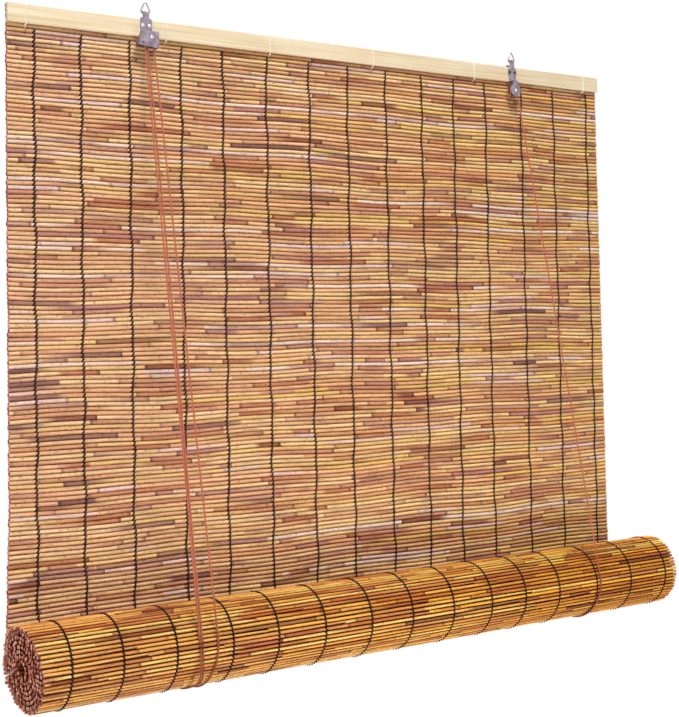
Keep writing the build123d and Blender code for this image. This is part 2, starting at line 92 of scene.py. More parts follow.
def add_camera():
    """The camera, turned by its yaw, then its pitch, then its roll."""
    yaw, pitch, roll = CAMERA_TURN
    ahead = Vector((sin(yaw) * cos(pitch), cos(yaw) * cos(pitch), sin(pitch)))
    level = Vector((cos(yaw), -sin(yaw), 0))
    upright = level.cross(ahead)
    right = level * cos(roll) + upright * sin(roll)
    up = upright * cos(roll) - level * sin(roll)
    camera = bpy.data.objects.new("camera", bpy.data.cameras.new("camera"))
    turn = Matrix((right, up, -ahead)).transposed().to_4x4()
    camera.matrix_world = Matrix.Translation(CAMERA_PLACE) @ turn
    camera.data.sensor_width = SENSOR
    camera.data.lens = FOCAL_PIXELS * SENSOR / PHOTO_HEIGHT
    camera.data.shift_y = SHIFT_PIXELS / PHOTO_HEIGHT
    scene.collection.objects.link(camera)
    scene.camera = camera


add_camera()


# Materials
def srgb(r, g, b):
    """Linear colour of an 8-bit one."""
    return tuple((c / 255 / 12.92) if c <= 10 else ((c / 255 + 0.055) / 1.055) ** 2.4 for c in (r, g, b))


def grey(value):
    return (value, value, value)


class Shader:
    """A Principled material with small helpers for its node tree."""

    def __init__(self, name, roughness=0.5, metallic=0.0):
        self.material = bpy.data.materials.new(name)
        self.material.use_nodes = True
        self.tree = self.material.node_tree
        self.bsdf = self.tree.nodes["Principled BSDF"]
        self.set("Roughness", roughness)
        self.set("Metallic", metallic)

    def set(self, name, value):
        """Give an input of the Principled node a fixed value."""
        self.bsdf.inputs[name].default_value = value

    def feed(self, name, value):
        """Link a value to an input of the Principled node."""
        self.link(value, self.bsdf.inputs[name])

    def node(self, kind, **values):
        made = self.tree.nodes.new(kind)
        for key, value in values.items():
            setattr(made, key, value)
        return made

    def link(self, start, end):
        self.tree.links.new(start, end)

    def noise(self, coordinates, scale, detail):
        """Noise over a texture coordinate stretched by scale."""
        where = self.node("ShaderNodeTexCoord").outputs[coordinates]
        mapping = self.node("ShaderNodeMapping")
        mapping.inputs["Scale"].default_value = scale
        noise = self.node("ShaderNodeTexNoise")
        noise.inputs["Scale"].default_value = 1.0
        noise.inputs["Detail"].default_value = detail
        noise.inputs["Roughness"].default_value = 0.55
        self.link(where, mapping.inputs["Vector"])
        self.link(mapping.outputs["Vector"], noise.inputs["Vector"])
        return noise.outputs["Fac"]

    def ramp(self, value, *stops):
        """Colours along a value, each stop a position and a linear colour."""
        ramp = self.node("ShaderNodeValToRGB")
        elements = ramp.color_ramp.elements
        while len(elements) < len(stops):
            elements.new(0.5)
        for element, (position, colour) in zip(elements, stops):
            element.position = position
            element.color = (*colour, 1)
        self.link(value, ramp.inputs["Fac"])
        return ramp.outputs["Color"]

    def multiply(self, first, second):
        """The product of two colours."""
        mix = self.node("ShaderNodeMix", data_type="RGBA", blend_type="MULTIPLY")
        mix.inputs["Factor"].default_value = 1.0
        self.link(first, mix.inputs["A"])
        self.link(second, mix.inputs["B"])
        return mix.outputs["Result"]

    def spread(self, value, low, high, start=0.3, end=0.7):
        """A value moved from start..end to low..high."""
        spread = self.node("ShaderNodeMapRange")
        for key, number in (("From Min", start), ("From Max", end), ("To Min", low), ("To Max", high)):
            spread.inputs[key].default_value = number
        self.link(value, spread.inputs["Value"])
        return spread.outputs["Result"]

    def bump(self, value, strength, distance):
        """Fine relief from a value, its depth in metres."""
        bump = self.node("ShaderNodeBump")
        bump.inputs["Strength"].default_value = strength
        bump.inputs["Distance"].default_value = distance
        self.link(value, bump.inputs["Height"])
        self.feed("Normal", bump.outputs["Normal"])


def reed_material():
    """Stalks take their colour from the mesh, with streaks and dark flecks along them."""
    s = Shader("reed")
    s.set("Specular IOR Level", 0.2)
    tint = s.node("ShaderNodeAttribute", attribute_name="tint").outputs["Color"]
    streaks = s.noise("UV", (3, 6, 1), 4)
    flecks = s.noise("UV", (26, 4, 1), 2)
    colour = s.multiply(tint, s.ramp(streaks, (0.3, grey(0.66)), (0.5, grey(0.95)), (0.72, grey(1.18))))
    colour = s.multiply(colour, s.ramp(flecks, (0.3, (0.55, 0.42, 0.40)), (0.42, grey(1))))
    s.feed("Base Color", colour)
    s.feed("Roughness", s.spread(streaks, 0.34, 0.58))
    s.bump(streaks, 0.3, 0.3 * MM)
    return s.material


def thread_material():
    s = Shader("thread", roughness=0.85)
    s.set("Specular IOR Level", 0.15)
    fibres = s.noise("Object", (900, 900, 2200), 2)
    s.feed("Base Color", s.ramp(fibres, (0.3, srgb(22, 8, 8)), (0.7, srgb(52, 24, 20))))
    s.bump(fibres, 0.4, 0.2 * MM)
    return s.material


def bamboo_material():
    """Split bamboo: a long grain under pale clouds."""
    s = Shader("bamboo")
    grain = s.noise("Object", (5, 120, 420), 4)
    clouds = s.noise("Object", (9, 30, 30), 2)
    colour = s.ramp(grain, (0.25, srgb(214, 190, 150)), (0.5, srgb(230, 211, 177)),
                    (0.75, srgb(238, 222, 196)))
    colour = s.multiply(colour, s.ramp(clouds, (0.3, (0.93, 0.90, 0.84)), (0.6, grey(1))))
    s.feed("Base Color", colour)
    s.feed("Roughness", s.spread(grain, 0.42, 0.6))
    s.bump(grain, 0.25, 0.3 * MM)
    return s.material


def plastic_material(name, scale, dark, light, roughness):
    """A smooth material with faint grains."""
    s = Shader(name, roughness=roughness)
    grains = s.noise("Object", (scale, scale, scale), 2)
    s.feed("Base Color", s.ramp(grains, (0.3, dark), (0.7, light)))
    s.bump(grains, 0.2, 0.1 * MM)
    return s.material


def steel_material(name, dark, light, roughness):
    """Steel with stains and fine scratches."""
    s = Shader(name, metallic=0.85)
    scratches = s.noise("Object", (300, 300, 1600), 4)
    stains = s.noise("Object", (140, 140, 140), 3)
    s.feed("Base Color", s.ramp(stains, (0.3, dark), (0.7, light)))
    s.feed("Roughness", s.spread(scratches, roughness - 0.1, roughness + 0.12))
    s.bump(scratches, 0.15, 0.1 * MM)
    return s.material


def cord_material():
    """Terracotta cord, darker and browner low down, where it lies round the roll, as painted shade."""
    s = Shader("cord", roughness=0.82)
    fibres = s.noise("Object", (1200, 1200, 700), 2)
    colour = s.ramp(fibres, (0.3, srgb(162, 74, 52)), (0.7, srgb(208, 112, 82)))
    # Painted shade: below about z = -0.70 m, round the roll, the cord's colour darkens and browns
    place = s.node("ShaderNodeSeparateXYZ")
    s.link(s.node("ShaderNodeTexCoord").outputs["Object"], place.inputs["Vector"])
    height = s.spread(place.outputs["Z"], 0, 1, start=-0.79, end=-0.70)
    colour = s.multiply(colour, s.ramp(height, (0, (0.56, 0.46, 0.22)), (1, (0.98, 1.12, 1.08))))
    s.feed("Base Color", colour)
    s.set("Sheen Weight", 0.06)
    s.bump(fibres, 0.4, 0.2 * MM)
    return s.material


MATERIALS = {
    "reed": reed_material(),
    "thread": thread_material(),
    "bamboo": bamboo_material(),
    "nylon": plastic_material("nylon", 300, srgb(232, 226, 214), srgb(246, 243, 236), 0.38),
    "steel": steel_material("steel", srgb(126, 112, 122), srgb(172, 158, 168), 0.42),
    "rivet": steel_material("rivet", srgb(190, 188, 192), srgb(228, 226, 228), 0.26),
    "cord": cord_material(),
    "wheel": plastic_material("wheel", 900, srgb(34, 31, 34), srgb(58, 54, 58), 0.5),
}

# Pieces. A rope's strands wind round it once in a lay, and stand out from its core by a share of its radius
ROPE_SIDES, ROPE_STRANDS, ROPE_LAY = 9, 3, 7 * MM
ROPE_CORE, ROPE_SWELL = 1.14, 0.14
ROUTE_SPACING, FINE_SPACING = 1.6 * MM, 1 * MM
ASLANT = (0.31, 0.87, 0.38)  # a direction that no line starts along


def add_piece(name, mesh, slot, body, *nodes, smooth=True):
    """Put a mesh into the scene as a piece that rides on a body and stands for some nodes of the frame."""
    mesh.materials.clear()
    mesh.materials.append(MATERIALS[slot])
    mesh.polygons.foreach_set("use_smooth", [smooth] * len(mesh.polygons))
    piece = bpy.data.objects.new(name, mesh)
    scene.collection.objects.link(piece)
    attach(piece, body)
    if nodes:
        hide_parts(*nodes)
    return piece


def joined(name, parts):
    """One mesh of several (points, faces) parts."""
    points, faces, first = [], [], 0
    for part_points, part_faces in parts:
        points.append(np.asarray(part_points, float))
        faces += [[first + i for i in face] for face in part_faces]
        first += len(part_points)
    mesh = bpy.data.meshes.new(name)
    mesh.from_pydata(np.concatenate(points).tolist(), [], faces)
    mesh.update()
    return mesh


def add_joined(name, parts, slot, body, *nodes):
    """A piece made of several (points, faces) parts."""
    return add_piece(name, joined(name, parts), slot, body, *nodes)


def tube(line, radius, sides, closed=False, strands=0):
    """Points and faces of a tube along a line. Its strands, if it has any, wind round it as a rope's do."""
    line = np.asarray(line, float)
    count = len(line)
    if closed:
        ahead = np.roll(line, -1, 0) - np.roll(line, 1, 0)
    else:
        ahead = np.gradient(line, axis=0)
    ahead /= np.linalg.norm(ahead, axis=1)[:, None]
    run = np.concatenate([[0], np.cumsum(np.linalg.norm(np.diff(line, axis=0), axis=1))])
    side = np.cross(ahead[0], ASLANT)
    around = np.arange(sides) * 2 * pi / sides
    swell = ROPE_CORE + ROPE_SWELL * np.cos(strands * around) if strands else np.ones(sides)
    points = []
    for i in range(count):
        side = side - ahead[i] * (side @ ahead[i])
        side /= np.linalg.norm(side)
        other = np.cross(ahead[i], side)
        turned = around + (2 * pi * run[i] / ROPE_LAY if strands else 0)
        ring = np.outer(np.cos(turned) * swell, side) + np.outer(np.sin(turned) * swell, other)
        points.append(line[i] + radius * ring)
    faces = []
    for i in range(count if closed else count - 1):
        a, b = i * sides, (i + 1) % count * sides
        faces += [[a + k, a + (k + 1) % sides, b + (k + 1) % sides, b + k] for k in range(sides)]
    if not closed:
        faces.append(list(range(sides))[::-1])
        faces.append([(count - 1) * sides + k for k in range(sides)])
    return np.concatenate(points), faces


def smooth_line(route, spacing=ROUTE_SPACING):
    """Points read from the NURBS spline that has the route's points as its control points."""
    curve = bpy.data.curves.new("route", "CURVE")
    curve.dimensions = "3D"
    spline = curve.splines.new("NURBS")
    spline.points.add(len(route) - 1)
    for point, place in zip(spline.points, route):
        point.co = (*place, 1)
    spline.order_u = 3
    spline.use_endpoint_u = True
    length = sum((Vector(b) - Vector(a)).length for a, b in zip(route, route[1:]))
    curve.resolution_u = max(4, min(1000, ceil(length / spacing / (len(route) - 1))))
    holder = bpy.data.objects.new("route", curve)
    mesh = bpy.data.meshes.new_from_object(holder)
    line = [tuple(v.co) for v in mesh.vertices]
    bpy.data.objects.remove(holder)
    bpy.data.curves.remove(curve)
    bpy.data.meshes.remove(mesh)
    return line


def rope(name, lines, body, *nodes):
    """A piece of twisted cord along one or several lines."""
    parts = [tube(line, CORD / 2, ROPE_SIDES, strands=ROPE_STRANDS) for line in lines]
    return add_joined(name, parts, "cord", body, *nodes)


def draw_together(piece, top):
    """Give a piece its own copy of its mesh; the top it is given is not used."""
    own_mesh(piece)


# Cords: where they leave the hangers, and where they reach the roll
MOUTH_Z, PULLEY_MOUTH_Z = -58.928 * MM, -64.928 * MM
LIFT_X, PULL_X, GUIDE_X = -305.25 * MM, -314.55 * MM, -317.7 * MM
PULLEY_X, RETURN_X = 321.95 * MM, 307.05 * MM
GUIDE_Z, RETURN_Z = -46.428 * MM, -67.928 * MM
LEFT_FRONT, LEFT_REAR = -279 * MM, -294 * MM
RIGHT_FRONT, RIGHT_REAR = 376 * MM, 361 * MM
PULL_A, PULL_B = -301.0 * MM, -304.2 * MM
REAR_ANGLE = 2 * pi
WRAP_CORNERS = 4
FRONT_FALL = 0.7  # share of the roll's pitch by which its outer turn has fallen at its front
KNEE = 0.955  # share of a front run above the part that rises with the roll, to pass over it
REAR_SHIFT, REAR_RISE = 2 * MM, 0.5 * MM
LOCK_DROP, PULLEY_DROP = 6 * MM, 4 * MM
CROSS_BEND, CROSS_SAG = 12 * MM, 0.4 * MM

# Spare pull cord: a hank behind the roll, tied round its middle, with a knot below it
HANK_X, HANK_Z = -306.6 * MM, -761.06 * MM
HANK_HALF = 12.25 * MM
HANK_TURNS, HANK_STEP = 3, 2.3 * MM
HANK_EXTRA = 8  # control points past the last full turn
HANK_RISE = 9 * MM
HANK_OUT_Z, JOIN_Z = -773 * MM, -779 * MM
JOIN_APART = 1.1 * MM
HANK_TIE_Y, HANK_TIE_WIDE, HANK_TIE_DEEP = 18.9 * MM, 10.9 * MM, 6.4 * MM
HANK_TIE_TURNS, HANK_TIE_STEP, HANK_TIE_POINTS = 3, 2.3 * MM, 40
KNOT = (HANK_X, 19.35 * MM, -786 * MM)
KNOT_SIZE = (2.4 * MM, 2.4 * MM, 3.0 * MM)
CORD_KNOT_SIZE, CORD_KNOT_SHIFT = (2.8 * MM, 1.6 * MM, 1.6 * MM), (0.5 * MM, -2.5 * MM, 2.4 * MM)
KNOT_POINTS, KNOT_SIDES = 60, 8
KNOT_CORD, TIE_CORD = CORD * 0.46, CORD * 0.48

# Places along a pull strand where it isn't quite straight: share of the run, and millimetres aside and back
PULL_BENDS = ((0.3, 0.8, -1.5), (0.75, -0.5, -1))

# A tail's course about the roll's axis: straight down in front, then under and up behind, in millimetres
TAIL_COURSE = (
    (-52.6, -8), (-52.2, -24), (-47.5, -38.5), (-30, -45.5), (-6, -53.4), (24, -51), (46, -30), (54.5, -8),
)

# Each pull strand: its top, its place on the roll, the radius, start and side of its turns in the hank, and
# the place where it leaves them
PULLS = (
    ("a", PULL_X, PULL_A, 6.9 * MM, 12.6 * MM, 1, (HANK_X - 6 * MM, 20.4 * MM, HANK_OUT_Z)),
    ("b", GUIDE_X, PULL_B, 9.1 * MM, 14.8 * MM, -1, (HANK_X + 7 * MM, 21.4 * MM, HANK_OUT_Z)),
)


def tangent_angle(start_z):
    """Where round the roll a front cord from a mouth at this height meets it."""
    rise, reach = start_z - AXIS_Z, CORD_Y - AXIS_Y
    return atan2(rise, reach) + acos((WRAP - FRONT_FALL * ROLL_PITCH) / hypot(rise, reach))


LEFT_ANGLE, RIGHT_ANGLE = tangent_angle(MOUTH_Z), tangent_angle(PULLEY_MOUTH_Z)


def on_wrap(x, angle, share=1):
    """A point beside the roll, whose radius falls along its outer turn from the rear to the front."""
    radius = share * (WRAP - ROLL_PITCH * (1 - angle / (2 * pi)))
    return x, AXIS_Y + radius * cos(angle), AXIS_Z + radius * sin(angle)


def wrap_route(front_x, rear_x, start_angle):
    """The route of a cord from the roll's front, under it, to its rear."""
    step = (REAR_ANGLE - start_angle) / WRAP_CORNERS
    route = [on_wrap(front_x, start_angle)]
    for corner in range(WRAP_CORNERS):
        x = front_x + (rear_x - front_x) * (corner + 0.5) / WRAP_CORNERS
        route.append(on_wrap(x, start_angle + (corner + 0.5) * step, 1 / cos(step / 2)))
    return route + [on_wrap(rear_x, REAR_ANGLE)]


def between(start, end, share, push=(0, 0, 0)):
    """A point part of the way along a run, pushed aside by some millimetres."""
    return tuple(a + (b - a) * share + c * MM for a, b, c in zip(start, end, push))


def straight_rope(name, start, end, body, node):
    """A piece of cord straight from one point to another."""
    return rope(name, [smooth_line([start, between(start, end, 0.5), end])], body, node)


def add_lift_cords():
    """The two lift cords: down the back, under the roll, and up the front to the hangers."""
    for side, hanger_x, rear_x in (("left", LEFT_X, LEFT_REAR), ("right", RIGHT_X, RIGHT_REAR)):
        node = f"{side}_rear_cord"
        top = (hanger_x + REAR_SHIFT, REAR_Y, RAIL_TOP + REAR_RISE)
        run = straight_rope(f"{node}_rope", top, on_wrap(rear_x, REAR_ANGLE), "headrail", node)
        draw_together(run, top[2])
    for side, top, foot in (
        ("left", (LIFT_X, CORD_Y, MOUTH_Z), on_wrap(LEFT_FRONT, LEFT_ANGLE)),
        ("right", (PULLEY_X, CORD_Y, PULLEY_MOUTH_Z), on_wrap(RIGHT_FRONT, RIGHT_ANGLE)),
    ):
        node = f"{side}_front_cord"
        knee = between(top, foot, KNEE)
        run = straight_rope(f"{node}_rope", top, knee, "headrail", node)
        draw_together(run, top[2])
        straight_rope(f"{node}_foot", knee, foot, "sling", node)
    slings = [
        smooth_line(wrap_route(LEFT_FRONT, LEFT_REAR, LEFT_ANGLE)),
        smooth_line(wrap_route(RIGHT_FRONT, RIGHT_REAR, RIGHT_ANGLE)),
    ]
    rope("sling_ropes", slings, "sling", "sling_cords")


def over_wheel(centre_x, z, radius, start_x, end_x):
    """Control points of a cord over the top of a wheel."""
    corner = radius * (2 ** 0.5 - 1)
    side = 1 if start_x > end_x else -1
    return [
        (start_x, CORD_Y, z + corner),
        (centre_x + side * corner, CORD_Y, z + radius),
        (centre_x - side * corner, CORD_Y, z + radius),
        (end_x, CORD_Y, z + corner),
    ]


def add_hanger_cords():
    """The cords over the wheels, and the one that crosses behind the mat from the pulley to the lock."""
    loop = [
        (LIFT_X, CORD_Y, MOUTH_Z),
        (LIFT_X, CORD_Y, LOCK_Z - LOCK_DROP),
        *over_wheel(LOCK_X, LOCK_Z, LOCK_WHEEL, LIFT_X, PULL_X),
        (PULL_X, CORD_Y, LOCK_Z - LOCK_DROP),
        (PULL_X, CORD_Y, MOUTH_Z),
    ]
    cross = [
        (PULLEY_X, CORD_Y, PULLEY_MOUTH_Z),
        (PULLEY_X, CORD_Y, PULLEY_Z - PULLEY_DROP),
        *over_wheel(RIGHT_X, PULLEY_Z, PULLEY_WHEEL, PULLEY_X, RETURN_X),
        (RETURN_X, CORD_Y, RETURN_Z),
        (RETURN_X, CROSS_Y, RETURN_Z),
        (RETURN_X - CROSS_BEND, CROSS_Y, RETURN_Z + CROSS_SAG),
        (GUIDE_X + CROSS_BEND, CROSS_Y, GUIDE_Z - CROSS_SAG),
        (GUIDE_X, CROSS_Y, GUIDE_Z),
        (GUIDE_X, CORD_Y, GUIDE_Z),
        (GUIDE_X, CORD_Y, MOUTH_Z),
    ]
    lines = [smooth_line(loop, FINE_SPACING), smooth_line(cross, FINE_SPACING)]
    rope("hanger_ropes", lines, "headrail", "hanger_cords")


def hank_turns(radius, start_y, side):
    """Control points of a long narrow coil that starts up one side."""
    bend = radius * (2 ** 0.5 - 1)
    half = HANK_HALF
    ring = [
        (radius, -half / 2), (radius, half / 2),
        (radius, half + bend), (bend, half + radius), (-bend, half + radius), (-radius, half + bend),
        (-radius, half / 2), (-radius, -half / 2),
        (-radius, -half - bend), (-bend, -half - radius), (bend, -half - radius), (radius, -half - bend),
    ]
    corners = len(ring)
    points = []
    for step in range(corners * HANK_TURNS + HANK_EXTRA):
        x, z = ring[step % corners]
        points.append((HANK_X + side * x, start_y + HANK_STEP * step / corners, HANK_Z + z))
    return points


def knot_lump(centre, size):
    """A closed overhand knot drawn as a trefoil of cord."""
    around = np.linspace(0, 2 * pi, KNOT_POINTS, endpoint=False)
    line = np.stack([
        np.sin(around) + 2 * np.sin(2 * around),
        -np.sin(3 * around),
        np.cos(around) - 2 * np.cos(2 * around),
    ], -1) * np.array(size) / 3
    return tube(line + np.array(centre), KNOT_CORD, KNOT_SIDES, closed=True)


def add_pull_cords():
    """The two pull strands, and their tails that go under the roll, into the hank and on to the knot."""
    knot = add_joined("pull_knot_lump", [knot_lump(KNOT, KNOT_SIZE)], "cord", "sling", "pull_knot")
    for which, top_x, x, radius, start_y, side, leave in PULLS:
        top, foot = (top_x, CORD_Y, MOUTH_Z), on_wrap(x, LEFT_ANGLE)
        knee = between(top, foot, KNEE)
        bends = [between(top, foot, share, (aside * side, back, 0)) for share, aside, back in PULL_BENDS]
        line = smooth_line([top, *bends, knee])
        strand = rope(f"pull_strand_{which}_rope", [line], "headrail", f"pull_strand_{which}")
        draw_together(strand, top[2])
        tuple(top)
        join_x = HANK_X - side * JOIN_APART
        line = smooth_line([
            knee,
            foot,
            *((x, AXIS_Y + y * MM, AXIS_Z + z * MM) for y, z in TAIL_COURSE),
            (x, REAR_Y, AXIS_Z + HANK_RISE),
            *hank_turns(radius, start_y, side),
            leave,
            (join_x, KNOT[1], JOIN_Z),
            (join_x, KNOT[1], KNOT[2]),
        ])
        tail = rope(f"pull_tail_{which}_rope", [line], "sling", "pull_hank")


def squared(wave):
    """A wave with its sides made steeper, which turns a circle into a rounded square."""
    return np.sign(wave) * np.abs(wave) ** 0.5


def add_hank_tie():
    """A few turns of cord round the hank's middle."""
    around = np.linspace(0, 2 * pi, HANK_TIE_POINTS, endpoint=False)
    x = HANK_X + HANK_TIE_WIDE * squared(np.cos(around))
    y = HANK_TIE_Y + HANK_TIE_DEEP * squared(np.sin(around))
    band = []
    for turn in range(HANK_TIE_TURNS):
        z = HANK_Z + (turn - 1) * HANK_TIE_STEP
        band.append(tube(np.stack([x, y, np.full(HANK_TIE_POINTS, z)], -1), TIE_CORD, KNOT_SIDES, closed=True))
    add_joined("hank_tie", band, "cord", "sling")


def add_cord_knots():
    """The knots that hold the lift cords' upper ends behind the hangers, given the dark thread finish as painted
    shade.
    """
    for side, hanger_x in HANGERS:
        centre = tuple(a + b for a, b in zip((hanger_x, REAR_Y, RAIL_TOP), CORD_KNOT_SHIFT))
        lump = knot_lump(centre, CORD_KNOT_SIZE)
        # Painted shade: the knots take the dark thread finish instead of the cord's
        add_joined(f"{side}_knot_lump", [lump], "thread", "headrail", f"{side}_cord_knot")


add_lift_cords()
add_hanger_cords()
add_pull_cords()
add_hank_tie()
add_cord_knots()

# Reeds: the colours of stalks and of the leaf sheaths on them, each with its weight
HANGING_TINTS = (
    (3.0, srgb(254, 212, 146)), (2.4, srgb(248, 190, 130)), (1.5, srgb(244, 196, 110)),
    (1.4, srgb(232, 166, 108)), (0.7, srgb(255, 226, 204)),
)
HANGING_SHEATHS = (
    (2.4, srgb(204, 136, 108)), (1.8, srgb(190, 110, 76)), (1.6, srgb(188, 124, 116)),
    (0.9, srgb(150, 80, 58)), (0.6, srgb(124, 70, 76)), (0.6, srgb(240, 204, 196)),
)
ROLL_TINTS = (
    (3.0, srgb(254, 180, 60)), (2.2, srgb(241, 162, 52)), (2.2, srgb(255, 208, 104)),
    (1.2, srgb(218, 134, 54)),
)
ROLL_SHEATHS = (
    (2.2, srgb(200, 104, 40)), (1.6, srgb(188, 96, 56)), (1.2, srgb(154, 70, 28)), (0.4, srgb(116, 52, 34)),
)
SHADED = tuple((weight, tuple(0.25 * c for c in tint)) for weight, tint in ROLL_SHEATHS)
PALE = np.array(srgb(246, 196, 164))
END_TINTS = (srgb(230, 144, 122), srgb(208, 114, 96), srgb(176, 88, 74), srgb(240, 174, 150))
# Painted shade at the bottom of a stalk's shallow bore
BORE_SHADE = srgb(66, 32, 36)
CORE_TINT = srgb(120, 70, 44)

# A stalk's cut ends, as shares of its radius and a depth, and the length of stalk in one unit of its texture
STALK_SIDES = 8
RIM, BORE, BORE_DEPTH = 0.6, 0.5, 1.2 * MM
# Painted shade in the bores of the other stalks: their rim colour darkened by this share
FAINT_BORE_SHADE = 0.6
TEXTURE_LENGTH = 0.1

# Painted shade beside a stalk's neighbours, broader on its lower side: where its lower side begins, how sharply
# the painted shade ends on each side, its tint
LOWER_SIDE, LOWER_SHADE_SHARPNESS, UPPER_SHADE_SHARPNESS, PAINTED_SHADE_TINT = -0.1, 1.4, 4, (1, 1.1, 1.2)

# Ranges that the stalks of a row and their sheaths are drawn from, in metres, and as shares of a sheath
STALK_LENGTHS, STALK_OVERLAP, LEAST_STALK, LEAST_REST = (0.25, 0.8), 0.012, 0.012, 0.01
SHEATH_GAPS, SHEATH_LENGTHS = (0.02, 0.24), (0.03, 0.17)
SHEATH_FADES, SHEATH_COVERS = (0.02, 0.75), (0.45, 0.95)
DRIFT_LENGTHS, DRIFT_PHASES, DRIFT_TURN = (0.25, 0.6), (0, 6.3), 6.28
SHEATH_LIP, LIP_SWELL, LIP_SHADE = 0.03, 1.03, 3 * MM
SHEATH_SPOTS = (-6 * MM, -2 * MM, -0.2 * MM, 0.2 * MM)
TINT_RANGE, PALE_FROM = (0.88, 1.06), 0.35
TAPER_START, TAPER_SPAN, TIP_START, TIP_SPAN, BUTT_SPAN = 0.9, 0.1, 0.92, 0.08, 0.06

# Waves that the whole mat shares: height in millimetres, length in metres, rows to a cycle, phase
MAT_WAVES = ((0.9, 0.34, 60, 0), (0.7, 0.21, -45, 1.3), (0.5, 0.52, 34, 4))
CALM_TOP, CALM_FOOT, CALM_ROWS = 6, 2, 10


